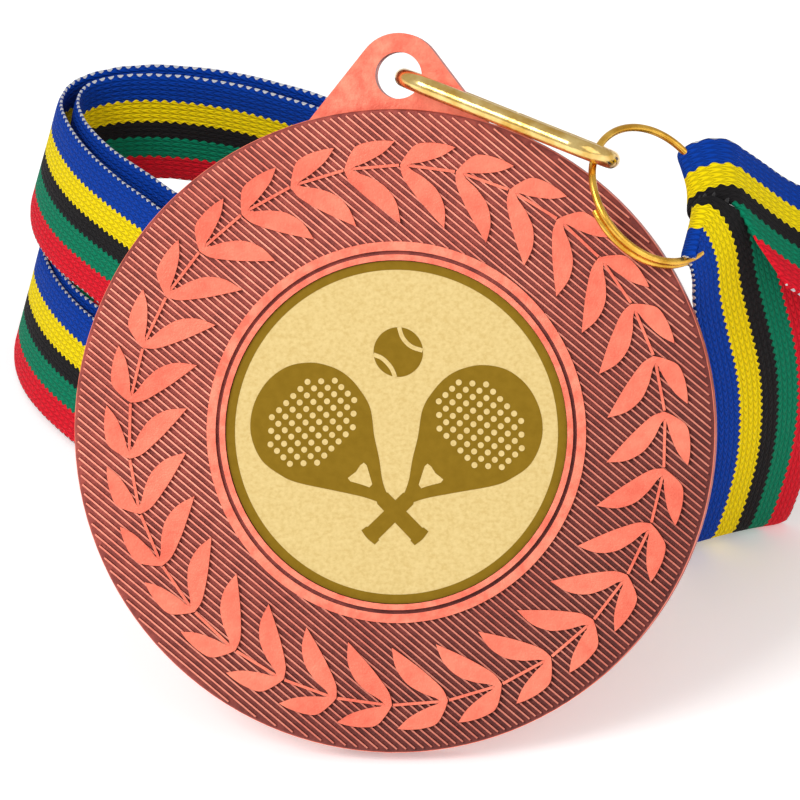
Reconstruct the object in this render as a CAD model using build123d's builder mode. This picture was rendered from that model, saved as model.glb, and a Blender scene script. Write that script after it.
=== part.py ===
"""Sports finisher medal: a cast disc standing on its rim, leaning back on its own coiled neck ribbon."""
from build123d import *
from math import cos, radians, sin, sqrt, tan
import os

os.makedirs("parts", exist_ok=True)

# ---------------------------------------------------------------- driving dimensions (mm, degrees)
disc_radius = 25.0
disc_thickness = 3.0
lean = 27.0                     # the medal leans back from upright by this angle

rim_chamfer = 0.15
ground_level = 1.1              # the wreath's ground, above the disc's middle plane
seat_centre = (0.25, -0.1)      # the insert sits a little off the disc's centre
bead_outer_radius = 14.8        # raised ring round the insert
groove_outer_radius = 14.1      # groove in the raised ring
groove_inner_radius = 13.8
groove_depth = 0.35
seat_radius = 13.35
seat_level = 0.45
adhesive_thickness = 0.1
insert_radius = 13.3
insert_thickness = 0.7

bead_top = 1.5

tab_hole_height = 27.58         # hole's centre, above the disc's centre
tab_hole_radius = 1.82
tab_top_radius = 3.3
tab_base_half_width = 7.2
tab_base_height = 23.7
tab_front_level = 0.5

link_wire_radius = 0.72
link_inner_half_gap = 2.0
link_length = 17.60             # between the middles of the wire at both ends
link_fall = 20.8                # the link falls to the right by this angle
link_forward = 9.0              # and comes forward by this one
link_seat = 0.46                # from the hole's centre to the wire's middle
link_hole_level = -0.45
link_butt_gap = 0.15

ring_radius = 5.75              # to the middle of the wire
ring_wire_radius = 0.3
ring_wire_pitch = 0.64
ring_overlap = 109.0
ring_start_angle = 211.0
ring_hook_angle = 523.0         # where the link hangs, counted along the wire
ring_centre = (19.93, 18.55, 0.15)
ring_turn = 42.2                # the ring's face turns this far to the right
ring_tip = 24.0                 # and this far up

ribbon_width = 10.0
ribbon_thickness = 0.6
fold_axis_reach = 4.85          # from the ring's centre to the fold's axis
fold_axis_shift = 0.3
fold_bore_radius = 1.5
fold_wall = 0.45
fold_length = 7.8
fold_tail = 3.6
fold_tail_thickness = 1.1
fold_tail_direction = (0.77, -0.60, -0.20)
stitch_thread = 0.3
stitch_length = 1.5
stitch_rows = (2.6, 3.9)        # from the fold's axis, along its tail
stitch_columns = (1.4, 3.9, 6.4)

coil_wall = 3.6
coil_corner_radius = 5.0
turn_height = 10.4
coil_outline = [
    (-36.6, 76.3), (-29.8, 81.0), (-19.5, 78.6), (-7.5, 70.0), (6.0, 58.0), (17.0, 45.0), (20.0, 32.0),
    (15.0, 19.5), (4.0, 13.1), (-7.5, 24.0), (-17.0, 42.0), (-26.3, 54.5), (-33.6, 65.0),
]

# routes of the two free strands, from the sewn fold to the coil
upper_route = [
    (27.1, 19.5, 34.2), (34.0, 24.0, 31.0), (42.0, 28.0, 25.0), (48.5, 34.0, 19.5), (50.5, 42.5, 17.0),
    (44.0, 48.5, 15.9), (34.0, 47.0, 15.7), (24.5, 43.0, 15.7), (15.5, 47.5, 15.7), (8.0, 56.5, 15.7),
]
lower_route = [
    (27.2, 19.6, 33.6), (28.4, 23.5, 25.0), (28.4, 28.5, 15.5), (27.0, 33.5, 7.0), (24.5, 38.0, 1.9),
    (20.5, 43.5, 1.7), (16.0, 48.0, 1.9), (9.0, 54.8, 2.4),
]

lower_roll = 0.5                # turns the lower strand's section so that it lies flat on the floor

# the row's origin is under the middle of the medal, its link and its ring
disc_shift_x = 0.0
disc_shift_y = -11.56


# ---------------------------------------------------------------- frames
up_y, up_z = sin(radians(lean)), cos(radians(lean))
disc_centre_height = disc_radius * up_z + (disc_thickness / 2 - rim_chamfer) * up_y
disc_centre_depth = disc_radius * up_y - disc_thickness / 2 * up_z
disc_centre = Vector(disc_shift_x, disc_shift_y + disc_centre_depth, disc_centre_height)
medal = Plane(origin=disc_centre, x_dir=(1, 0, 0), z_dir=(0, -up_z, up_y))


def on_floor(point):
    """A point of the ribbon's layout, placed in the row's frame."""
    return Vector(point[0] + disc_shift_x, point[1] + disc_shift_y, point[2] if len(point) > 2 else 0)


def level(height):
    """The medal's own plane, moved towards its front by this height."""
    return medal.offset(height)


fall, forward = radians(link_fall), radians(link_forward)
link_along = medal.from_local_coords(
    Vector(cos(fall) * cos(forward), -sin(fall) * cos(forward), sin(forward))
) - medal.origin
link_across = medal.from_local_coords(Vector(-sin(fall), -cos(fall), 0)) - medal.origin
hole_end = medal.from_local_coords(
    Vector(link_seat * cos(fall), tab_hole_height - link_seat * sin(fall), link_hole_level)
)
link_plane = Plane(origin=hole_end, x_dir=link_along, z_dir=link_across)

turn, tip = radians(ring_turn), radians(ring_tip)
ring_normal = Vector(sin(turn) * cos(tip), sin(tip), cos(turn) * cos(tip))
ring_up = Vector(-0.015, 0.863, -0.504)
ring_right = ring_up.cross(ring_normal).normalized()
ring_plane = Plane(
    origin=medal.from_local_coords(Vector(*ring_centre)),
    x_dir=medal.from_local_coords(ring_right) - medal.origin,
    z_dir=medal.from_local_coords(ring_normal) - medal.origin,
)


# ---------------------------------------------------------------- cast medal
with BuildPart() as medal_body:
    with BuildSketch(level(-disc_thickness / 2)):
        Circle(disc_radius)
    extrude(amount=disc_thickness / 2 + ground_level)
    chamfer(medal_body.edges().filter_by(GeomType.CIRCLE), rim_chamfer)
    with BuildSketch(level(-disc_thickness / 2)):
        with BuildLine():
            side = Vector(tab_base_half_width, tab_base_height - tab_hole_height)
            reach = side.length
            shoulder = sqrt(reach**2 - tab_top_radius**2)
            touch_x = (side.X * tab_top_radius + side.Y * -shoulder) * tab_top_radius / reach**2
            touch_y = (side.Y * tab_top_radius + side.X * shoulder) * tab_top_radius / reach**2
            touch = (touch_x, tab_hole_height + touch_y)
            mirror_touch = (-touch_x, tab_hole_height + touch_y)
            top = (0, tab_hole_height + tab_top_radius)
            Polyline(
                mirror_touch, (-tab_base_half_width, tab_base_height), (-tab_base_half_width, 20),
                (tab_base_half_width, 20), (tab_base_half_width, tab_base_height), touch,
            )
            ThreePointArc(touch, top, mirror_touch)
        make_face()
    extrude(amount=disc_thickness / 2 + tab_front_level)
    with BuildSketch(level(ground_level)):
        with Locations(seat_centre):
            Circle(bead_outer_radius)
    extrude(amount=bead_top - ground_level)
    with BuildSketch(level(bead_top)):
        with Locations(seat_centre):
            Circle(groove_outer_radius)
            Circle(groove_inner_radius, mode=Mode.SUBTRACT)
    extrude(amount=-groove_depth, mode=Mode.SUBTRACT)
    with BuildSketch(level(seat_level)):
        with Locations(seat_centre):
            Circle(seat_radius)
    extrude(amount=bead_top, mode=Mode.SUBTRACT)
    with BuildSketch(level(-disc_thickness)):
        with Locations((0, tab_hole_height)):
            Circle(tab_hole_radius)
    extrude(amount=2 * disc_thickness, mode=Mode.SUBTRACT)
medal_body.part.label = "medal_body"
export_step(medal_body.part, "parts/medal_body.step")


with BuildPart() as insert_adhesive:
    with BuildSketch(level(seat_level)):
        with Locations(seat_centre):
            Circle(insert_radius - 0.2)
    extrude(amount=adhesive_thickness)
insert_adhesive.part.label = "insert_adhesive"
export_step(insert_adhesive.part, "parts/insert_adhesive.step")


with BuildPart() as centre_insert:
    with BuildSketch(level(seat_level + adhesive_thickness)):
        with Locations(seat_centre):
            Circle(insert_radius)
    extrude(amount=insert_thickness)
centre_insert.part.label = "centre_insert"
export_step(centre_insert.part, "parts/centre_insert.step")


# ---------------------------------------------------------------- oval link
link_half_width = link_inner_half_gap + link_wire_radius
with BuildPart() as oval_link:
    with BuildLine(link_plane) as link_line:
        near, far = link_half_width, link_length - link_half_width
        middle, half_butt = (near + far) / 2, link_butt_gap / 2
        Line((middle + half_butt, -link_half_width), (far, -link_half_width))
        ThreePointArc((far, -link_half_width), (link_length, 0), (far, link_half_width))
        Line((far, link_half_width), (near, link_half_width))
        ThreePointArc((near, link_half_width), (0, 0), (near, -link_half_width))
        Line((near, -link_half_width), (middle - half_butt, -link_half_width))
    with BuildSketch(Plane(link_line.line @ 0, z_dir=link_line.line % 0)):
        Circle(link_wire_radius)
    sweep()
oval_link.part.label = "oval_link"
export_step(oval_link.part, "parts/oval_link.step")


# ---------------------------------------------------------------- split ring
wire_angle = 360 + ring_overlap
wire_rise = ring_wire_pitch * wire_angle / 360
start_level = ring_wire_pitch * (ring_start_angle - ring_hook_angle) / 360
helix_base = Plane(
    origin=ring_plane.from_local_coords(Vector(0, 0, start_level)),
    x_dir=ring_plane.from_local_coords(
        Vector(cos(radians(ring_start_angle)), sin(radians(ring_start_angle)), 0)
    ) - ring_plane.origin,
    z_dir=ring_plane.z_dir,
)
with BuildPart() as split_ring:
    with BuildLine() as ring_line:
        coiled = Helix(pitch=ring_wire_pitch, height=wire_rise, radius=ring_radius, mode=Mode.PRIVATE)
        add(coiled.moved(helix_base.location))
    with BuildSketch(Plane(ring_line.line @ 0, z_dir=ring_line.line % 0)):
        Circle(ring_wire_radius)
    sweep(is_frenet=True)
split_ring.part.label = "split_ring"
export_step(split_ring.part, "parts/split_ring.step")


# ---------------------------------------------------------------- ribbon
fold_plane = Plane(
    origin=ring_plane.from_local_coords(Vector(fold_axis_reach, fold_axis_shift - fold_length / 2, 0)),
    x_dir=ring_plane.x_dir,
    z_dir=ring_plane.y_dir,
)
tail_along = (medal.from_local_coords(Vector(*fold_tail_direction)) - medal.origin).normalized()
with BuildPart() as ribbon_fold:
    with BuildSketch(fold_plane):
        Circle(fold_bore_radius + fold_wall)
    extrude(amount=fold_length)
    tail_x = tail_along.dot(fold_plane.x_dir)
    tail_y = tail_along.dot(fold_plane.y_dir)
    tail_angle = Vector(1, 0, 0).get_signed_angle(Vector(tail_x, tail_y, 0))
    with BuildSketch(fold_plane):
        with Locations(Rot(0, 0, tail_angle)):
            with Locations((fold_bore_radius + fold_tail / 2, 0)):
                Rectangle(fold_tail, fold_tail_thickness)
    extrude(amount=fold_length)
    with BuildSketch(fold_plane):
        Circle(fold_bore_radius)
    extrude(amount=fold_length, mode=Mode.SUBTRACT)
ribbon_fold.part.label = "ribbon_fold"
export_step(ribbon_fold.part, "parts/ribbon_fold.step")


with BuildPart() as joint_stitching:
    for column in stitch_columns:
        with BuildSketch(fold_plane.offset(column - stitch_length / 2)):
            with Locations(Rot(0, 0, tail_angle)):
                with Locations([(row, 0) for row in stitch_rows]):
                    Rectangle(stitch_thread, fold_tail_thickness + stitch_thread)
        extrude(amount=stitch_length)
joint_stitching.part.label = "joint_stitching"
export_step(joint_stitching.part, "parts/joint_stitching.step")


def corner_radii(points):
    """The largest tangent arc for each corner of a route: 0.45 of the shorter run."""
    radii = []
    for before, corner, after in zip(points, points[1:], points[2:]):
        run = min((corner - before).length, (after - corner).length)
        half_turn = radians((corner - before).get_angle(after - corner)) / 2
        radii.append(0.45 * run / tan(half_turn))
    return radii


def strand_route(points):
    radii = corner_radii(points)
    print("strand radii, mm:", [round(r, 1) for r in radii])
    return points, radii


upper_points, upper_radii = strand_route([on_floor(p) for p in upper_route])
with BuildPart() as ribbon_upper_strand:
    with BuildLine() as upper_line:
        FilletPolyline(*upper_points, radius=upper_radii)
    with BuildSketch(Plane(upper_points[0], x_dir=(0, -0.44, -0.90), z_dir=upper_line.line % 0)):
        Rectangle(ribbon_width, ribbon_thickness)
    sweep()
ribbon_upper_strand.part.label = "ribbon_upper_strand"
export_step(ribbon_upper_strand.part, "parts/ribbon_upper_strand.step")

lower_points, lower_radii = strand_route([on_floor(p) for p in lower_route])
with BuildPart() as ribbon_lower_strand:
    with BuildLine() as lower_line:
        FilletPolyline(*lower_points, radius=lower_radii)
    with BuildSketch(Plane(lower_points[0], x_dir=(1, 0, lower_roll), z_dir=lower_line.line % 0)):
        Rectangle(ribbon_width, ribbon_thickness)
    sweep()
ribbon_lower_strand.part.label = "ribbon_lower_strand"
export_step(ribbon_lower_strand.part, "parts/ribbon_lower_strand.step")

for strand, line in ((ribbon_upper_strand, upper_line), (ribbon_lower_strand, lower_line)):
    length = sum(edge.length for edge in line.line.edges())
    section_times_length = ribbon_width * ribbon_thickness * length
    print(strand.part.label, "length", round(length, 1),
          "volume", round(strand.part.volume, 1), "against", round(section_times_length, 1))


with BuildPart() as ribbon_coil:
    with BuildSketch():
        with BuildLine():
            FilletPolyline(*[on_floor(p) for p in coil_outline], radius=coil_corner_radius, close=True)
        make_face()
        offset(amount=coil_wall / 2)
        with BuildLine(mode=Mode.PRIVATE) as middle_line:
            FilletPolyline(*[on_floor(p) for p in coil_outline], radius=coil_corner_radius, close=True)
        inside = offset(make_face(middle_line.edges(), mode=Mode.PRIVATE), amount=-coil_wall / 2,
                        mode=Mode.PRIVATE)
        add(inside, mode=Mode.SUBTRACT)
    extrude(amount=2 * turn_height)
ribbon_coil.part.label = "ribbon_coil"
export_step(ribbon_coil.part, "parts/ribbon_coil.step")
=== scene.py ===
"""Sports finisher medal on its coiled neck ribbon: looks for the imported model."""
import bpy
from math import cos, pi, radians, sin, sqrt
from mathutils import Matrix, Vector


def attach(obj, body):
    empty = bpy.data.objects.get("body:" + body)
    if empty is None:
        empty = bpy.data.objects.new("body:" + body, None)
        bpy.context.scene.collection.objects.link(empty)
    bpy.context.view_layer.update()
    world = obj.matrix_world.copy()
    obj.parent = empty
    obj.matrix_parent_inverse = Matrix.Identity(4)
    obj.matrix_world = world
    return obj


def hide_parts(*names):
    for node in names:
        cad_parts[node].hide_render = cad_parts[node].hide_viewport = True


MM = 0.001

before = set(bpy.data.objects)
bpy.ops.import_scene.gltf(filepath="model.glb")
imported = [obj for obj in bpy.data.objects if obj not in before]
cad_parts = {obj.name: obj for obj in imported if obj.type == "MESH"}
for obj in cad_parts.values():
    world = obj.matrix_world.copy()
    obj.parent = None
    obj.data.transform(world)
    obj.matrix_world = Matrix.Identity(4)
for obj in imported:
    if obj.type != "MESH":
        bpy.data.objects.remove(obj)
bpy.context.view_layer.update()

# ---------------------------------------------------------------- the medal's own frame
LEAN = radians(27.0)
DISC_RADIUS = 25.0
DISC_HALF_THICKNESS = 1.5
RIM_CHAMFER = 0.15
SHIFT = Vector((0, -11.56, 0))          # from the layout's frame to the row's, as in the CAD

ACROSS = Vector((1, 0, 0))
UPWARD = Vector((0, sin(LEAN), cos(LEAN)))
FRONT = Vector((0, -cos(LEAN), sin(LEAN)))
DISC_CENTRE = SHIFT + Vector((
    0,
    DISC_RADIUS * sin(LEAN) - DISC_HALF_THICKNESS * cos(LEAN),
    DISC_RADIUS * cos(LEAN) + (DISC_HALF_THICKNESS - RIM_CHAMFER) * sin(LEAN),
))


def on_medal(x, y, height):
    """A point of the medal: across, up and in front of its middle plane, in mm."""
    return (DISC_CENTRE + x * ACROSS + y * UPWARD + height * FRONT) * MM


# ---------------------------------------------------------------- mesh and node helpers
def new_mesh(name, points, faces, materials, face_materials=None, smooth=False):
    mesh = bpy.data.meshes.new(name)
    mesh.from_pydata([tuple(p) for p in points], [], faces)
    piece = bpy.data.objects.new(name, mesh)
    bpy.context.collection.objects.link(piece)
    for material in materials:
        mesh.materials.append(material)
    if face_materials:
        mesh.polygons.foreach_set("material_index", face_materials)
    mesh.polygons.foreach_set("use_smooth", [smooth] * len(mesh.polygons))
    mesh.update()
    return piece


class Nodes:
    """A short way to write a node material."""

    def __init__(self, name):
        self.material = bpy.data.materials.new(name)
        self.material.use_nodes = True
        self.tree = self.material.node_tree
        self.shader = self.tree.nodes["Principled BSDF"]

    def add(self, kind, **settings):
        node = self.tree.nodes.new(kind)
        for key, value in settings.items():
            setattr(node, key, value)
        return node

    def link(self, source, target):
        if isinstance(source, (int, float)):
            target.default_value = source
        else:
            self.tree.links.new(source, target)

    def math(self, operation, a, b=0.0, c=0.0):
        node = self.add("ShaderNodeMath", operation=operation)
        for socket, value in zip(node.inputs, (a, b, c)):
            self.link(value, socket)
        return node.outputs[0]

    def noise(self, scale, detail=2.0, roughness=0.5, where=None):
        node = self.add("ShaderNodeTexNoise")
        node.inputs["Scale"].default_value = scale
        node.inputs["Detail"].default_value = detail
        node.inputs["Roughness"].default_value = roughness
        self.tree.links.new(where or self.place(), node.inputs["Vector"])
        return node.outputs["Fac"]

    def place(self):
        return self.add("ShaderNodeTexCoord").outputs["Object"]

    def ramp(self, value, stops, interpolation="LINEAR"):
        node = self.add("ShaderNodeValToRGB")
        node.color_ramp.interpolation = interpolation
        elements = node.color_ramp.elements
        while len(elements) < len(stops):
            elements.new(1.0)
        for element, (position, colour) in zip(elements, stops):
            element.position = position
            element.color = (*colour, 1)
        self.link(value, node.inputs["Fac"])
        return node.outputs["Color"]

    def mix(self, factor, a, b, blend="MIX"):
        node = self.add("ShaderNodeMix", data_type="RGBA", blend_type=blend)
        self.link(factor, node.inputs["Factor"])
        for socket, value in ((node.inputs[6], a), (node.inputs[7], b)):
            if isinstance(value, tuple):
                socket.default_value = (*value, 1)
            else:
                self.tree.links.new(value, socket)
        return node.outputs[2]

    def bump(self, height, distance, strength=1.0):
        node = self.add("ShaderNodeBump")
        node.inputs["Distance"].default_value = distance
        node.inputs["Strength"].default_value = strength
        self.link(height, node.inputs["Height"])
        self.tree.links.new(node.outputs["Normal"], self.shader.inputs["Normal"])


def srgb(red, green, blue):
    """A colour on the 0-255 display scale, as linear light."""
    linear = []
    for level in (red, green, blue):
        share = level / 255
        linear.append(share / 12.92 if level <= 10 else ((share + 0.055) / 1.055) ** 2.4)
    return tuple(linear)


# ---------------------------------------------------------------- materials
METRES_TO_MM = 1000.0
SHADE_DIRECTION = (0.72, -0.32, -0.62)   # the painted shade deepens this way
SHADE_SPAN = 50.0
SHADE_START = 0.62
COPPER_METALLIC = 0.35
GRAIN_SCALE = 5200
GRAIN_DEPTH = 0.00006
MOTTLE_SCALE = 900


def painted_shade_gradient(n, colour, darkest=(0.62, 0.56, 0.56)):
    """Painted shade: the colour is multiplied darker from the upper left of the face towards the lower right,
    as the light falls off.
    """
    place = n.add("ShaderNodeVectorMath", operation="DOT_PRODUCT")
    n.tree.links.new(n.place(), place.inputs[0])
    place.inputs[1].default_value = tuple(METRES_TO_MM * part for part in SHADE_DIRECTION)
    across = n.math("ADD", n.math("MULTIPLY", place.outputs["Value"], 1 / SHADE_SPAN), SHADE_START)
    return n.mix(1.0, colour, n.ramp(across, [(0.1, (1.0, 1.0, 1.0)), (0.75, darkest)]), "MULTIPLY")


def copper(name, light, dark, patches, roughness, with_painted_shade=True):
    """Antiqued copper plating: mottled between two tones, with a fine cast grain, and by default painted shade
    darkening it towards the lower right.
    """
    n = Nodes(name)
    mottle = n.noise(MOTTLE_SCALE, detail=4, roughness=0.6)
    broad = n.noise(120, detail=2)
    tone = n.math("ADD", n.math("MULTIPLY", mottle, 0.5), n.math("MULTIPLY", broad, 0.5))
    colour = n.ramp(tone, [(0.5 - patches, dark), (0.5 + patches, light)])
    n.link(painted_shade_gradient(n, colour) if with_painted_shade else colour, n.shader.inputs["Base Color"])
    n.shader.inputs["Metallic"].default_value = COPPER_METALLIC
    n.shader.inputs["Roughness"].default_value = roughness
    n.bump(n.noise(GRAIN_SCALE, detail=3, roughness=0.7), GRAIN_DEPTH, 0.6)
    return n.material


# copper_raised has no painted shade; the other three are darkened towards the lower right as painted shade
copper_light = copper("copper_raised", srgb(250, 132, 104), srgb(232, 104, 80), 0.14, 0.42, with_painted_shade=False)
copper_rib = copper("copper_rib", srgb(255, 164, 138), srgb(238, 128, 106), 0.14, 0.45)
copper_side = copper("copper_side", srgb(190, 82, 66), srgb(120, 46, 38), 0.2, 0.5)
copper_recess = copper("copper_recess", srgb(142, 56, 48), srgb(104, 36, 32), 0.14, 0.55)


GROUND_BAND = (1.0, 1.3)                # heights of the ground and the groove's floor, in mm
RIM_LINE = DISC_RADIUS - 0.02           # beyond this a wall belongs to the rim
TONE_LOW, TONE_HIGH = 0.36, 0.64


def cast_body():
    """The casting: dark ground and groove, with painted shade deepening them towards the lower right, a half
    dark side of the rim, light copper elsewhere.
    """
    n = Nodes("copper_body")
    place = n.add("ShaderNodeVectorMath", operation="SUBTRACT")
    n.tree.links.new(n.place(), place.inputs[0])
    place.inputs[1].default_value = DISC_CENTRE * MM
    depth = n.add("ShaderNodeVectorMath", operation="DOT_PRODUCT")
    n.tree.links.new(place.outputs[0], depth.inputs[0])
    depth.inputs[1].default_value = FRONT
    height = n.math("MULTIPLY", depth.outputs["Value"], METRES_TO_MM)
    far = n.add("ShaderNodeVectorMath", operation="LENGTH")
    n.tree.links.new(place.outputs[0], far.inputs[0])
    reach = n.math("MULTIPLY", far.outputs["Value"], METRES_TO_MM)
    inside = n.math("LESS_THAN", reach, RIM_LINE)
    above, below = n.math("GREATER_THAN", height, GROUND_BAND[0]), n.math("LESS_THAN", height, GROUND_BAND[1])
    low = n.math("MULTIPLY", above, below)
    facing = n.add("ShaderNodeVectorMath", operation="DOT_PRODUCT")
    n.tree.links.new(n.add("ShaderNodeTexCoord").outputs["Normal"], facing.inputs[0])
    facing.inputs[1].default_value = FRONT
    wall = n.math("LESS_THAN", n.math("ABSOLUTE", facing.outputs["Value"]), 0.5)
    patina = n.math("MAXIMUM", n.math("MULTIPLY", low, inside), n.math("MULTIPLY", wall, inside))
    mottle = n.noise(MOTTLE_SCALE, detail=4, roughness=0.6)
    light = n.ramp(mottle, [(TONE_LOW, srgb(236, 108, 84)), (TONE_HIGH, srgb(255, 140, 112))])
    dark = n.ramp(mottle, [(TONE_LOW, srgb(136, 56, 48)), (TONE_HIGH, srgb(174, 78, 66))])
    # painted shade: the dark patina is made darker still towards the lower right
    dark = painted_shade_gradient(n, dark, (0.40, 0.34, 0.34))
    edge = n.math("MULTIPLY", wall, n.math("GREATER_THAN", reach, RIM_LINE))
    rim = n.ramp(mottle, [(TONE_LOW, srgb(150, 62, 52)), (TONE_HIGH, srgb(206, 96, 78))])
    colour = n.mix(edge, n.mix(patina, light, dark), rim)
    n.link(colour, n.shader.inputs["Base Color"])
    n.shader.inputs["Metallic"].default_value = COPPER_METALLIC
    n.shader.inputs["Roughness"].default_value = 0.45
    n.bump(n.noise(GRAIN_SCALE, detail=3, roughness=0.7), GRAIN_DEPTH, 0.6)
    return n.material


def polished_gold(name, light, dark, roughness):
    """Gold-plated wire, a little uneven in colour and polish."""
    n = Nodes(name)
    colour = n.ramp(n.noise(700, detail=3), [(0.35, dark), (0.65, light)])
    n.link(colour, n.shader.inputs["Base Color"])
    n.shader.inputs["Metallic"].default_value = 1.0
    n.link(n.ramp(n.noise(2500, detail=2), [(0.3, (roughness,) * 3), (0.8, (roughness + 0.14,) * 3)]),
           n.shader.inputs["Roughness"])
    n.bump(n.noise(3500, detail=2), 0.00003, 0.35)
    return n.material


copper_body = cast_body()
gold_link = polished_gold("gold_link", srgb(246, 214, 140), srgb(214, 170, 84), 0.14)
gold_ring = polished_gold("gold_ring", srgb(240, 190, 84), srgb(206, 150, 50), 0.2)


def plate_field():
    """Pale gold of the printed plate, with a fine horizontal grain."""
    n = Nodes("plate_field")
    stretch = n.add("ShaderNodeMapping")
    stretch.inputs["Scale"].default_value = (0.8, 1.0, 1.0)
    n.tree.links.new(n.place(), stretch.inputs["Vector"])
    grain = n.noise(3600, detail=2, roughness=0.6, where=stretch.outputs["Vector"])
    tones = [(0.32, srgb(209, 180, 114)), (0.5, srgb(217, 190, 126)), (0.7, srgb(223, 197, 134))]
    colour = n.ramp(grain, tones)
    n.link(colour, n.shader.inputs["Base Color"])
    n.shader.inputs["Metallic"].default_value = 0.1
    n.shader.inputs["Roughness"].default_value = 0.45
    n.shader.inputs["Specular IOR Level"].default_value = 0.15
    n.bump(grain, 0.00004, 0.5)
    return n.material


def plate_print():
    """Olive ink on the printed plate."""
    n = Nodes("plate_print")
    tone = n.noise(1500, detail=3)
    n.link(n.ramp(tone, [(0.3, srgb(128, 98, 14)), (0.7, srgb(136, 105, 20))]), n.shader.inputs["Base Color"])
    n.shader.inputs["Roughness"].default_value = 0.6
    n.shader.inputs["Specular IOR Level"].default_value = 0.1
    n.bump(n.noise(3600), 0.00002, 0.3)
    return n.material


field_gold = plate_field()
print_olive = plate_print()

RIBBON_WIDTH = 10.0
PICOT_PITCH = 0.85
SCALLOP = 0.011                         # share of the width by which each stripe's border waves
KNIT_COLUMNS = 22.0
# where each colour begins, as a share of the width
STRIPES = (
    (0.000, srgb(238, 238, 240)), (0.003, srgb(0, 62, 168)), (0.235, srgb(255, 226, 0)),
    (0.440, srgb(30, 28, 29)), (0.590, srgb(0, 130, 94)), (0.780, srgb(232, 24, 44)),
    (0.997, srgb(238, 236, 236)),
)


def woven_ribbon():
    """Five stripes across the ribbon with scalloped borders, knitted in narrow columns."""
    n = Nodes("woven_ribbon")
    uv = n.add("ShaderNodeSeparateXYZ")
    n.tree.links.new(n.add("ShaderNodeTexCoord").outputs["UV"], uv.inputs[0])
    across, along = uv.outputs[0], uv.outputs[1]            # along is in mm
    scallop = n.math("SINE", n.math("MULTIPLY", along, 2 * pi / PICOT_PITCH))
    shifted = n.math("ADD", across, n.math("MULTIPLY", scallop, SCALLOP))
    colour = n.ramp(shifted, STRIPES, "CONSTANT")
    column = n.math("MULTIPLY", across, KNIT_COLUMNS)
    from_middle = n.math("ABSOLUTE", n.math("SUBTRACT", n.math("FRACT", column), 0.5))
    phase = n.math("ADD", n.math("MULTIPLY", along, 1 / PICOT_PITCH), n.math("MULTIPLY", from_middle, 1.3))
    stitch = n.math("ABSOLUTE", n.math("SINE", n.math("MULTIPLY", phase, pi)))
    round_yarn = n.math("SUBTRACT", 1.0, n.math("POWER", n.math("MULTIPLY", from_middle, 2.0), 3.0))
    height = n.math("MULTIPLY", n.math("POWER", stitch, 0.6), round_yarn)
    # painted shade: the hollows between the knitted stitches are coloured darker
    shade = n.ramp(height, [(0.0, (0.70, 0.70, 0.71)), (0.4, (0.95, 0.95, 0.95)), (1.0, (1.0, 1.0, 1.0))])
    fuzz = n.ramp(n.noise(9000, detail=2), [(0.3, (0.92, 0.92, 0.92)), (0.7, (1.0, 1.0, 1.0))])
    n.link(n.mix(1.0, n.mix(1.0, colour, shade, "MULTIPLY"), fuzz, "MULTIPLY"), n.shader.inputs["Base Color"])
    n.shader.inputs["Roughness"].default_value = 0.8
    n.shader.inputs["Specular IOR Level"].default_value = 0.12
    n.bump(height, 0.00018, 0.8)
    return n.material


ribbon_cloth = woven_ribbon()

# ---------------------------------------------------------------- ribbon
# middle of the coil's wall near the CAD's, at each corner
COIL = [
    (-36.2, 75.3), (-29.8, 79.0), (-19.5, 76.7), (-7.5, 68.3), (6.0, 58.0), (17.0, 45.0), (20.0, 32.0),
    (15.0, 19.5), (4.0, 13.1), (-7.5, 24.0), (-17.0, 42.0), (-26.3, 54.5), (-33.6, 65.0),
]
UPPER_LEVEL, MIDDLE_LEVEL, LOWER_LEVEL = 15.7, 10.6, 5.2
OUTER_LAYER, INNER_LAYER = 1.5, -0.5
# the lower turn lies nearer the medal, by this share of the offset at each corner
LOWER_OFFSET = (-1.2, -6.3)
LOWER_SHARE = {0: 1.0, 1: 1.0, 2: 1.0, 3: 0.9, 4: 0.5, 9: 0.3, 10: 0.8, 11: 1.0, 12: 1.0}
RUN_ORDER = (4, 3, 2, 1, 0, 12, 11, 10, 9, 8, 7, 6, 5)      # corners as the ribbon passes them
# how far each turn splays out at its foot, by corner: the near side does, the far side stands upright
SPLAY = {0: 0.6, 1: 0.1, 2: 0.05, 3: 0.05, 10: 0.8, 11: 1.0, 12: 1.0}
INWARD = {10: 1.6, 11: 1.1}             # the inner layer bulges into the coil here
FIRST_TURN = len(COIL)
SECOND_TURN = 10                        # corners of the second turn before the strand leaves the coil


def coil_point(index, height, layer, flare):
    """One corner of a turn: its place, and the direction from the ribbon's middle to its blue edge."""
    here = Vector(COIL[index])
    after, before = COIL[(index + 1) % len(COIL)], COIL[(index - 1) % len(COIL)]
    along = (Vector(after) - Vector(before)).normalized()
    outward = Vector((-along.y, along.x))
    lowered = (UPPER_LEVEL - height) / (UPPER_LEVEL - LOWER_LEVEL) * LOWER_SHARE.get(index, 0.0)
    place = here + outward * layer + Vector(LOWER_OFFSET) * lowered
    return (place.x, place.y, height), (-outward.x * flare, -outward.y * flare, 1)


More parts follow.
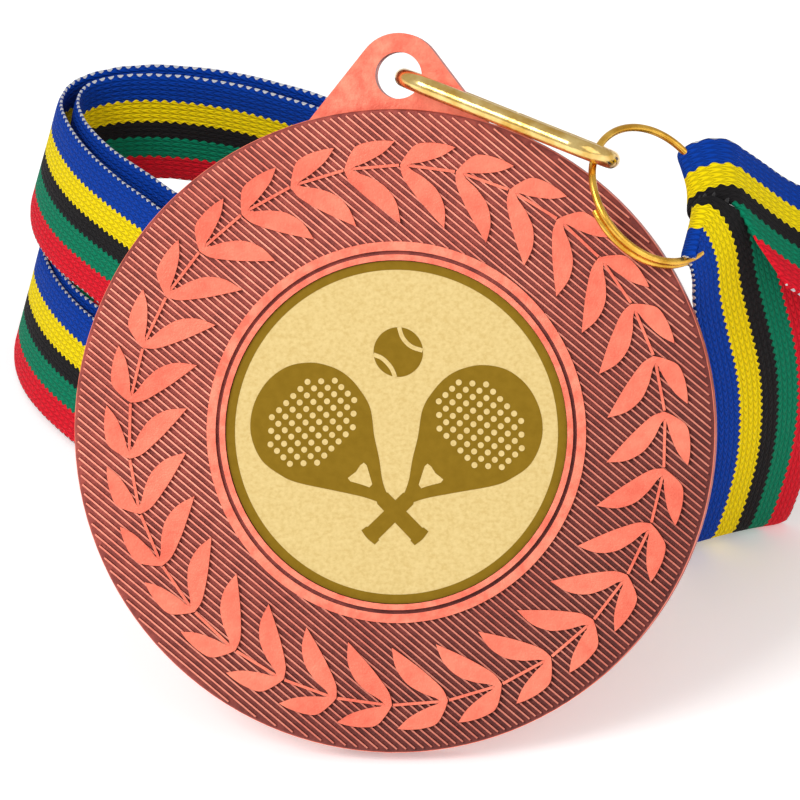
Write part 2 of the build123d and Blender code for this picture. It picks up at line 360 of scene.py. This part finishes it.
# free stretch of each strand, from behind the fold to the coil: place, and direction to the blue edge
UPPER_FREE = [
    ((24.8, 20.7, 36.1), (0, 0.84, 0.54)), ((22.6, 20.7, 36.1), (0, 0.84, 0.54)),
    ((22.6, 19.5, 38.1), (-0.04, 0.84, 0.53)), ((25.8, 20.7, 38.9), (-0.20, 0.84, 0.50)),
    ((27.4, 21.9, 36.6), (-0.10, 0.84, 0.52)), ((30.7, 24.6, 32.3), (0, 0.90, 0.43)),
    ((36.0, 27.0, 29.0), (0.05, 0.7, 0.7)), ((42.0, 29.5, 25.0), (0.15, 0.2, 0.96)),
    ((48.5, 35.0, 20.0), (0.12, 0.0, 0.98)), ((50.0, 42.5, 17.0), (0, 0, 1)), ((44.0, 47.0, 14.5), (0, 0, 1)),
    ((34.0, 47.0, 10.5), (0, 0, 1)), ((24.5, 46.3, 7.4), (0, 0, 1)), ((20.0, 47.8, 7.8), (0, 0, 1)),
    ((16.3, 50.6, 10.6), (0, 0, 1)), ((11.2, 55.2, 14.8), (0, 0, 1)),
]
LOWER_FREE = [
    ((24.2, 23.4, 36.2), (0.05, -0.84, -0.54)), ((23.0, 22.4, 36.3), (0, -0.84, -0.54)),
    ((23.0, 18.9, 38.8), (-0.03, -0.79, -0.60)), ((25.0, 18.4, 39.1), (-0.45, -0.70, -0.56)),
    ((26.4, 19.8, 35.2), (-0.64, -0.60, -0.48)), ((26.5, 21.4, 31.2), (-0.74, -0.60, -0.30)),
    ((27.0, 23.2, 27.0), (-0.78, -0.60, -0.15)), ((27.9, 26.2, 20.0), (-0.80, -0.60, 0)),
    ((27.5, 29.6, 12.0), (-0.80, -0.60, 0)), ((26.0, 32.2, 5.1), (-0.80, -0.60, 0)),
    ((24.4, 34.3, 0.0), (-0.80, -0.60, 0.05)), ((22.0, 38.0, 3.2), (-0.60, -0.40, 0.70)),
    ((18.0, 42.5, 5.0), (-0.25, -0.1, 1)), ((11.5, 49.5, 5.3), (0, 0, 1)),
]
# how much of its width each strand shows on its side of the sewn seam, by distance along it
UPPER_CUT = ((2.8, 0.54), (6.0, 0.57), (8.0, 0.66), (10.0, 0.80), (12.5, 0.92), (14.0, 1.0))
LOWER_CUT = ((3.5, 0.50), (6.0, 0.52), (8.0, 0.56), (10.5, 0.66), (13.0, 0.79), (15.5, 0.94), (16.5, 1.0))
# behind the medal each strand changes level and moves from the outer layer to the inner one, by corner
UPPER_CHANGE = {10: (UPPER_LEVEL, 0.3), 9: (MIDDLE_LEVEL, INNER_LAYER), 8: (LOWER_LEVEL, INNER_LAYER)}
LOWER_CHANGE = {9: (MIDDLE_LEVEL, OUTER_LAYER), 8: (UPPER_LEVEL, OUTER_LAYER), 7: (UPPER_LEVEL, 0.5)}
# the two strands are one ribbon: they meet in a loop inside the coil
UPPER_END = [
    ((13.5, 17.5, 5.2), (0, 0, 1)), ((17.2, 24.5, 6.0), (0, 0, 1)), ((15.8, 30.0, 8.0), (0, 0, 1)),
    ((12.4, 29.0, 10.0), (0, 0, 1)), ((11.8, 25.0, 10.4), (0, 0, 1)),
]
LOWER_END = [((11.0, 18.3, 14.5), (0, 0, 1)), ((11.8, 22.0, 11.0), (0, 0, 1)), ((11.8, 25.0, 10.4), (0, 0, 1))]


def wound(first, second, change, flares):
    """Most of two turns: one at the first level in the outer layer, one at the second in the inner layer."""
    route = []
    changing = False
    for count, index in enumerate(RUN_ORDER + RUN_ORDER[:SECOND_TURN]):
        flare = SPLAY.get(index, 0.0) * flares[count >= FIRST_TURN]
        bulge = INWARD.get(index, 0.0) if count >= FIRST_TURN else 0.0
        if count < FIRST_TURN and index in change:
            height, layer = change[index]
            changing = True
        elif changing:
            height, layer = second, INNER_LAYER
        else:
            height, layer = first, OUTER_LAYER
        route.append(coil_point(index, height, layer - bulge, flare))
    return route


# how much of the splay each strand takes in its first and second turn
UPPER_FLARES, LOWER_FLARES = (0.47, 0.10), (0.45, 0.34)
upper_route = UPPER_FREE + wound(UPPER_LEVEL, LOWER_LEVEL, UPPER_CHANGE, UPPER_FLARES) + UPPER_END
lower_route = LOWER_FREE + wound(LOWER_LEVEL, UPPER_LEVEL, LOWER_CHANGE, LOWER_FLARES) + LOWER_END


def along_spline(points):
    """Places in metres along a smooth curve whose control points, in mm, these are."""
    curve = bpy.data.curves.new("route", "CURVE")
    curve.dimensions = "3D"
    curve.resolution_u = 14
    spline = curve.splines.new("NURBS")
    spline.points.add(len(points) - 1)
    for control, point in zip(spline.points, points):
        control.co = (*((Vector(point) + SHIFT) * MM), 1)
    spline.order_u = 3
    spline.use_endpoint_u = True
    holder = bpy.data.objects.new("route", curve)
    bpy.context.collection.objects.link(holder)
    mesh = bpy.data.meshes.new_from_object(holder)
    line = [v.co.copy() for v in mesh.vertices]
    bpy.data.objects.remove(holder)
    return line


RIBBON_THICKNESS = 0.55
COLUMNS = 20
PICOT_DEPTH = 0.07
EDGE_ROUNDING, NEXT_ROUNDING = 0.35, 0.85       # share of the thickness left at the edge and beside it
FULL_WIDTH = 0.99                               # above this share of the width there is no seam


def stepped(value, stops):
    """A value read from (place, value) stops, straight between them."""
    if value <= stops[0][0]:
        return stops[0][1]
    for (start, first), (end, last) in zip(stops, stops[1:]):
        if value < end:
            return first + (last - first) * (value - start) / (end - start)
    return stops[-1][1]


def ribbon_mesh(name, route, seam):
    """A flat ribbon along a route, cut back at the seam: the piece, its middle line and the cut edge."""
    places = [p for p, _ in route]
    edges = [Vector(p) + Vector(lean).normalized() * RIBBON_WIDTH / 2 for p, lean in route]
    middle, blue = along_spline(places), along_spline(edges)
    points, uvs, edge, run = [], [], [], 0.0
    count = len(middle)
    for i in range(count):
        tangent = (middle[min(i + 1, count - 1)] - middle[max(i - 1, 0)]).normalized()
        if i:
            run += (middle[i] - middle[i - 1]).length / MM
        lean = blue[i] - middle[i]
        lean = (lean - tangent * lean.dot(tangent)).normalized()
        face = tangent.cross(lean).normalized()
        reach = stepped(run, seam)
        if reach < FULL_WIDTH:
            edge.append((run, middle[i] + lean * RIBBON_WIDTH * (0.5 - reach) * MM, lean, face))
        picot = PICOT_DEPTH * abs(sin(pi * run / PICOT_PITCH))
        for surface in (1, -1):
            for c in range(COLUMNS + 1):
                u = c / COLUMNS * reach
                offset = RIBBON_WIDTH * (0.5 - u)
                if c == 0:
                    offset += picot
                if c == COLUMNS and reach == 1.0:
                    offset -= picot
                rounding = 1.0
                if c in (0, COLUMNS):
                    rounding = EDGE_ROUNDING
                elif c in (1, COLUMNS - 1):
                    rounding = NEXT_ROUNDING
                lift = surface * RIBBON_THICKNESS / 2 * rounding
                points.append(middle[i] + lean * offset * MM + face * lift * MM)
                uvs.append((u, run))
    faces = []
    per_row = 2 * (COLUMNS + 1)
    for i in range(count - 1):
        for c in range(COLUMNS):
            a = i * per_row + c
            b = a + per_row
            faces.append((a, a + 1, b + 1, b))
            a += COLUMNS + 1
            b += COLUMNS + 1
            faces.append((a, b, b + 1, a + 1))
        front, back = i * per_row, i * per_row + COLUMNS + 1
        faces.append((front, front + per_row, back + per_row, back))
        front, back = front + COLUMNS, back + COLUMNS
        faces.append((front, back, back + per_row, front + per_row))
    for row in (0, (count - 1) * per_row):
        for c in range(COLUMNS):
            faces.append((row + c, row + COLUMNS + 1 + c, row + COLUMNS + 2 + c, row + c + 1))
    piece = new_mesh(name, points, faces, [ribbon_cloth], smooth=True)
    layer = piece.data.uv_layers.new(name="UVMap")
    for loop in piece.data.loops:
        layer.data[loop.index].uv = uvs[loop.vertex_index]
    return piece, middle, edge


upper_ribbon, upper_line, _ = ribbon_mesh("ribbon_upper", upper_route, UPPER_CUT)
lower_ribbon, lower_line, lower_edge = ribbon_mesh("ribbon_lower", lower_route, LOWER_CUT)


def sewing_thread():
    """Black thread, a little uneven."""
    n = Nodes("sewing_thread")
    tone = n.ramp(n.noise(6000), [(0.3, srgb(18, 17, 18)), (0.7, srgb(52, 50, 52))])
    n.link(tone, n.shader.inputs["Base Color"])
    n.shader.inputs["Roughness"].default_value = 0.8
    n.bump(n.noise(9000), 0.00005, 0.6)
    return n.material


# the seam's stitches, in mm: along the lower strand, and each one's sections as (reach, half size)
SEWN_FROM, SEWN_TO, STITCH_PITCH = 4.5, 8, 1.1
STITCH_SECTIONS = ((-0.5, 0.03), (-0.3, 0.11), (0.3, 0.11), (0.5, 0.03))
STITCH_LIFT = 0.25


def seam_stitches():
    """Short black stitches across the seam where the two strands are sewn together."""
    points, faces = [], []
    sewn = SEWN_FROM
    for run, place, lean, face in lower_edge:
        if run < sewn or run > SEWN_TO:
            continue
        sewn += STITCH_PITCH
        side = lean.cross(face)
        start = len(points)
        for reach, size in STITCH_SECTIONS:
            for a, b in ((1, 1), (1, -1), (-1, -1), (-1, 1)):
                points.append(place + (lean * reach + side * a * size + face * (STITCH_LIFT + b * size)) * MM)
        for ring in range(3):
            for k in range(4):
                a, b = start + ring * 4 + k, start + ring * 4 + (k + 1) % 4
                faces.append((a, b, b + 4, a + 4))
        faces += [tuple(start + k for k in (3, 2, 1, 0)), tuple(start + 12 + k for k in range(4))]
    return new_mesh("seam_stitches", points, faces, [sewing_thread()], smooth=True)


def line_length(line):
    """Length of a line of points, in metres."""
    return sum((b - a).length for a, b in zip(line, line[1:]))


stitches = seam_stitches()
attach(stitches, "ribbon")
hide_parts("joint_stitching")

print("strand lengths, mm:", [round(line_length(line) * 1000, 1) for line in (upper_line, lower_line)])
for piece, line, nodes, others in (
    (upper_ribbon, upper_line, ("ribbon_upper_strand", "ribbon_coil"), ()),
    (lower_ribbon, lower_line, ("ribbon_lower_strand", "ribbon_fold"), (stitches,)),
):
    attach(piece, "ribbon")
    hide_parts(*nodes)

# ---------------------------------------------------------------- CAD nodes
for node, material in (
    ("medal_body", copper_body), ("centre_insert", field_gold), ("insert_adhesive", field_gold),
    ("oval_link", gold_link), ("split_ring", gold_ring),
):
    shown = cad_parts[node]
    shown.data.materials.clear()
    shown.data.materials.append(material)

# ---------------------------------------------------------------- relief on the medal's front
GROUND, RIB_TOP, RELIEF_TOP = 1.1, 1.34, 1.5        # heights in front of the disc's middle plane
SUNK = 0.05                                         # how deep the relief starts below the ground
SEAT_CENTRE = (0.25, -0.1)
BEAD_OUTER = 14.8


def smooth_edge(points, steps=6):
    """Catmull-Rom points through the given ones, the first kept and the last left out."""
    line = []
    padded = [points[0]] + list(points) + [points[-1]]
    for k in range(1, len(padded) - 2):
        p0, p1, p2, p3 = (Vector(p) for p in padded[k - 1:k + 3])
        for step in range(steps):
            t = step / steps
            line.append(0.5 * (2 * p1 + (p2 - p0) * t + (2 * p0 - 5 * p1 + 4 * p2 - p3) * t ** 2
                               + (3 * p1 - p0 - 3 * p2 + p3) * t ** 3))
    return line


class Relief:
    """Flat-topped raised shapes, gathered into one mesh with light tops and dark sides."""

    def __init__(self):
        self.points, self.faces, self.tops = [], [], []

    def add(self, outline, low, high, taper=0.0):
        """outline is a list of (x, y) in the medal's plane. taper draws the top in, in mm."""
        centre = sum((Vector(p) for p in outline), Vector((0, 0))) / len(outline)
        start, count = len(self.points), len(outline)
        for x, y in outline:
            self.points.append(on_medal(x, y, low))
        for x, y in outline:
            pull = centre - Vector((x, y))
            pull = pull.normalized() * min(taper, pull.length)
            self.points.append(on_medal(x + pull.x, y + pull.y, high))
        self.faces.append(tuple(range(start + count, start + 2 * count)))
        self.tops.append(0)
        for k in range(count):
            j = (k + 1) % count
            self.faces.append((start + k, start + j, start + count + j, start + count + k))
            self.tops.append(1)

    def piece(self, name, materials):
        made = new_mesh(name, self.points, self.faces, materials, self.tops)
        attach(made, "medal")


WREATH_CENTRE = (0.27, -0.33)


def turned(point, angle):
    """A point turned round the wreath's middle."""
    x, y = point[0] - WREATH_CENTRE[0], point[1] - WREATH_CENTRE[1]
    return (WREATH_CENTRE[0] + x * cos(angle) - y * sin(angle),
            WREATH_CENTRE[1] + x * sin(angle) + y * cos(angle))


# one pair of leaves and its stem, at the disc's right-hand side
CROWN = (21.1, 1.86)
NOTCH_INNER, NOTCH_OUTER = (20.9, 1.05), (21.35, 0.95)
INNER_TIP, OUTER_TIP = (16.6, -2.2), (23.0, -2.35)
NOTCH = (21.15, 1.32)
INNER_UPPER = [CROWN, (20.1, 1.47), (18.8, 0.3), (17.7, -0.9), INNER_TIP]
INNER_LOWER = [INNER_TIP, (18.15, -2.05), (19.45, -1.33), (20.25, -0.24), NOTCH_INNER]
OUTER_INNER = [NOTCH_OUTER, (21.6, 0.1), (22.2, -1.33), OUTER_TIP]
OUTER_OUTER = [OUTER_TIP, (23.15, -1.5), (23.15, -0.3), (22.85, 0.8), (21.9, 1.5), CROWN]
LEAF_OUTLINE = (
    smooth_edge(INNER_UPPER) + smooth_edge(INNER_LOWER) + [Vector(NOTCH)]
    + smooth_edge(OUTER_INNER) + smooth_edge(OUTER_OUTER)
)
LEAF_PAIRS = 30
LEAF_TAPER = 0.05
STEM_TOP, STEM_HALF_WIDTH, STEM_TAPER = (21.15, 1.5), 0.11, 0.03
STEM_DROP = 0.06                        # a stem is this much lower than the leaves

wreath = Relief()
for pair in range(LEAF_PAIRS):
    angle = radians(360 / LEAF_PAIRS * pair)
    leaves = [turned(p, angle) for p in reversed(LEAF_OUTLINE)]
    wreath.add(leaves, GROUND - SUNK, RELIEF_TOP, taper=LEAF_TAPER)
    top = Vector(turned(STEM_TOP, angle))
    bottom = Vector(turned(CROWN, angle - radians(360 / LEAF_PAIRS)))
    side = (bottom - top).normalized()
    side = Vector((-side.y, side.x)) * STEM_HALF_WIDTH
    stem = [top + side, top - side, bottom - side, bottom + side]
    wreath.add(stem, GROUND - SUNK, RELIEF_TOP - STEM_DROP, taper=STEM_TAPER)
wreath.piece("wreath", [copper_light, copper_side])

RIB_FALL = radians(39.0)
RIB_PITCH = 0.47
RIB_REACH = 24.7
RIB_BASE, RIB_CREST = 0.11, 0.065       # half widths
RIB_SUNK = 0.02
RIB_SECTION = ((-RIB_BASE, GROUND - RIB_SUNK), (-RIB_CREST, RIB_TOP), (RIB_CREST, RIB_TOP),
               (RIB_BASE, GROUND - RIB_SUNK))
rib_along = Vector((cos(RIB_FALL), -sin(RIB_FALL)))
rib_across = Vector((sin(RIB_FALL), cos(RIB_FALL)))
ribs = Relief()


def add_rib(start, end, offset):
    """A long ridge from start to end along its run."""
    first = len(ribs.points)
    for t in (start, end):
        for half, height in RIB_SECTION:
            place = rib_along * t + rib_across * (offset + half)
            ribs.points.append(on_medal(place.x, place.y, height))
    a, b = first, first + 4
    for k, top in ((0, 1), (1, 0), (2, 1)):
        ribs.faces.append((a + k, b + k, b + k + 1, a + k + 1))
        ribs.tops.append(top)
    ribs.faces.append((a, a + 1, a + 2, a + 3))
    ribs.faces.append((b + 3, b + 2, b + 1, b))
    ribs.tops.extend((0, 0))


seat_offset = Vector(SEAT_CENTRE).dot(rib_across)
seat_run = Vector(SEAT_CENTRE).dot(rib_along)
rib_count = int(RIB_REACH / RIB_PITCH)
for k in range(-rib_count, rib_count + 1):
    offset = k * RIB_PITCH
    reach = sqrt(RIB_REACH ** 2 - offset ** 2)
    from_seat = offset - seat_offset
    if abs(from_seat) < BEAD_OUTER:
        gap = sqrt(BEAD_OUTER ** 2 - from_seat ** 2)
        add_rib(-reach, seat_run - gap, offset)
        add_rib(seat_run + gap, reach, offset)
    else:
        add_rib(-reach, reach, offset)
ribs.piece("hatched_ground", [copper_rib, copper_recess])

# ---------------------------------------------------------------- print on the centre plate
SEAT_FLOOR, ADHESIVE_THICKNESS, PLATE_THICKNESS = 0.45, 0.1, 0.7
PLATE_TOP = SEAT_FLOOR + ADHESIVE_THICKNESS + PLATE_THICKNESS
PRINT_LIFT, OPEN_LIFT = 0.02, 0.035


class Print:
    """Flat inked shapes on the plate, each at its own small height."""

    def __init__(self, lift):
        self.points, self.faces, self.lift = [], [], PLATE_TOP + lift

    def shape(self, outline, extra=0.0):
        start = len(self.points)
        lift = self.lift + extra
        self.points += [on_medal(x + SEAT_CENTRE[0], y + SEAT_CENTRE[1], lift) for x, y in outline]
        self.faces.append(tuple(range(start, start + len(outline))))

    def disc(self, centre, radius, steps=24):
        angles = [2 * pi * k / steps for k in range(steps)]
        self.shape([(centre[0] + radius * cos(a), centre[1] + radius * sin(a)) for a in angles])

    def band(self, inner, outer, steps=180):
        for k in range(steps):
            a, b = 2 * pi * k / steps, 2 * pi * (k + 1) / steps
            self.shape([(inner * cos(a), inner * sin(a)), (outer * cos(a), outer * sin(a)),
                        (outer * cos(b), outer * sin(b)), (inner * cos(b), inner * sin(b))])

    def stroke(self, line, width):
        """A strip of even width along a line of points."""
        sides = []
        for k, here in enumerate(line):
            run = (Vector(line[min(k + 1, len(line) - 1)]) - Vector(line[max(k - 1, 0)])).normalized()
            sides.append((Vector(here), Vector((-run.y, run.x)) * width / 2))
        for (a, na), (b, nb) in zip(sides, sides[1:]):
            self.shape([a - na, b - nb, b + nb, a + na])

    def piece(self, name, material):
        made = new_mesh(name, self.points, self.faces, [material])
        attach(made, "medal")


# right-hand racket's outline, from its butt up its outer side and back down its inner side
RACKET = (
    smooth_edge([(-2.62, -7.65), (-2.17, -8.25), (-1.56, -8.74)])
    + [Vector(p) for p in ((-1.56, -8.74), (-1.23, -8.4), (-1.26, -8.29), (1.41, -5.57))]
    + smooth_edge([(1.43, -5.40), (2.62, -5.03), (4.91, -4.57), (7.59, -4.04), (8.92, -3.5), (10.5, -2.3),
                   (11.35, -0.3), (11.2, 1.8), (10.2, 3.7), (8.6, 4.95), (6.72, 5.31), (5.1, 5.0), (3.9, 4.35),
                   (2.9, 3.3), (2.05, 1.84), (1.71, -0.29), (1.31, -2.03), (1.04, -3.7), (0.72, -4.66)])
    + [Vector(p) for p in ((0.72, -4.66), (0.57, -4.71), (-2.12, -7.36), (-2.25, -7.36))]
)
THROAT = [
    (1.81, -4.05), (2.02, -4.31), (2.4, -4.17), (2.83, -4.04), (3.51, -3.87), (3.73, -3.62), (3.5, -3.42),
    (3.1, -3.12), (2.78, -2.62), (2.49, -2.40), (2.26, -2.6),
]
# the holes stand in slanting rows round the middle of each head
HOLE_ROWS, LONGEST_ROW = 8, 10
HOLE_RADIUS = 0.235
HOLES_CENTRE = (6.55, 0.68)
NEXT_HOLE, NEXT_ROW = (0.552, -0.558), (-0.512, -0.496)
BALL, BALL_RADIUS = (0.09, 6.22), 1.93
UPPER_SEAM = [(0.04, 1.95), (0.25, 1.28), (0.62, 0.76), (1.14, 0.38), (1.9, 0.15)]
LOWER_SEAM = [(-1.92, -0.22), (-1.32, -0.46), (-0.85, -0.85), (-0.46, -1.36), (-0.22, -1.95)]
SEAM_WIDTH = 0.33
OLIVE_BAND = (12.6, 13.3)
OVERLAP_LIFT = 0.004                    # keeps one racket clear of the other where they cross


def mirrored(outline):
    """The outline on the plate's other side, still in the same sense of turn."""
    return [(-p[0], p[1]) for p in reversed([tuple(q) for q in outline])]


ink = Print(PRINT_LIFT)
ink.band(*OLIVE_BAND)
ink.disc(BALL, BALL_RADIUS, 64)
ink.shape([tuple(p) for p in RACKET])
ink.shape(mirrored(RACKET), extra=OVERLAP_LIFT)
ink.piece("printed_emblem", print_olive)

bare = Print(OPEN_LIFT)
for side in (1, -1):
    for row in range(HOLE_ROWS):
        down = row - (HOLE_ROWS - 1) / 2
        short = max(0, round(abs(down) - 1.5))      # the outer rows lose holes at both ends
        for hole in range(short, LONGEST_ROW - short):
            along = hole - (LONGEST_ROW - 1) / 2
            x = HOLES_CENTRE[0] + along * NEXT_HOLE[0] + down * NEXT_ROW[0]
            y = HOLES_CENTRE[1] + along * NEXT_HOLE[1] + down * NEXT_ROW[1]
            bare.disc((side * x, y), HOLE_RADIUS, 16)
bare.shape(THROAT)
bare.shape(mirrored(THROAT))
for seam_line in (UPPER_SEAM, LOWER_SEAM):
    placed = [(x + BALL[0], y + BALL[1]) for x, y in seam_line]
    bare.stroke([tuple(p) for p in smooth_edge(placed)] + [placed[-1]], SEAM_WIDTH)
bare.piece("print_openings", field_gold)

# ---------------------------------------------------------------- camera, light and floor
camera_data = bpy.data.cameras.new("camera")
camera_data.sensor_width = 36.0
camera_data.lens = 348.3
camera_data.clip_end = 20
CAMERA_PLACE = Vector((65.098, -515.953, 307.35))
camera = bpy.data.objects.new("camera", camera_data)
bpy.context.collection.objects.link(camera)
AZIMUTH, ELEVATION, ROLL = radians(7.0), radians(28.0), radians(2.463)
towards_camera = Vector((sin(AZIMUTH) * cos(ELEVATION), -cos(AZIMUTH) * cos(ELEVATION), sin(ELEVATION)))
level_right = Vector((cos(AZIMUTH), sin(AZIMUTH), 0))
level_up = towards_camera.cross(level_right)
camera_right = cos(ROLL) * level_right - sin(ROLL) * level_up
camera_up = sin(ROLL) * level_right + cos(ROLL) * level_up
turn = Matrix((camera_right, camera_up, towards_camera)).transposed().to_4x4()
camera.matrix_world = Matrix.Translation((CAMERA_PLACE + SHIFT) * MM) @ turn
bpy.context.scene.camera = camera

scene = bpy.context.scene
scene.view_settings.view_transform = "Standard"
world = bpy.data.worlds.new("studio")
world.use_nodes = True
world.node_tree.nodes["Background"].inputs["Color"].default_value = (1, 1, 1, 1)
world.node_tree.nodes["Background"].inputs["Strength"].default_value = 0.62
scene.world = world


def soft_light(name, place, aim, size, power):
    """A square area light at a place, turned to its aim."""
    data = bpy.data.lights.new(name, "AREA")
    data.size = size
    data.energy = power
    light = bpy.data.objects.new(name, data)
    light.location = place
    light.rotation_euler = (Vector(aim) - Vector(place)).to_track_quat("-Z", "Y").to_euler()
    bpy.context.collection.objects.link(light)


LIGHT_AIM = (0, 0, 0.02)
soft_light("key", (-0.35, -0.45, 0.55), LIGHT_AIM, 0.35, 3.0)
soft_light("fill", (0.5, -0.35, 0.35), LIGHT_AIM, 0.5, 0.8)

floor_nodes = Nodes("pale_floor")
floor_tone = floor_nodes.ramp(floor_nodes.noise(2.0), [(0.3, (0.93, 0.93, 0.93)), (0.7, (0.96, 0.96, 0.96))])
floor_nodes.link(floor_tone, floor_nodes.shader.inputs["Base Color"])
floor_nodes.shader.inputs["Roughness"].default_value = 0.9
floor_nodes.shader.inputs["Emission Color"].default_value = (1, 1, 1, 1)
floor_nodes.shader.inputs["Emission Strength"].default_value = 0.3
FLOOR_HALF = 3.0
corners = [(x * FLOOR_HALF, y * FLOOR_HALF, 0) for x, y in ((-1, -1), (1, -1), (1, 1), (-1, 1))]
floor = new_mesh("floor", corners, [(0, 1, 2, 3)], [floor_nodes.material])
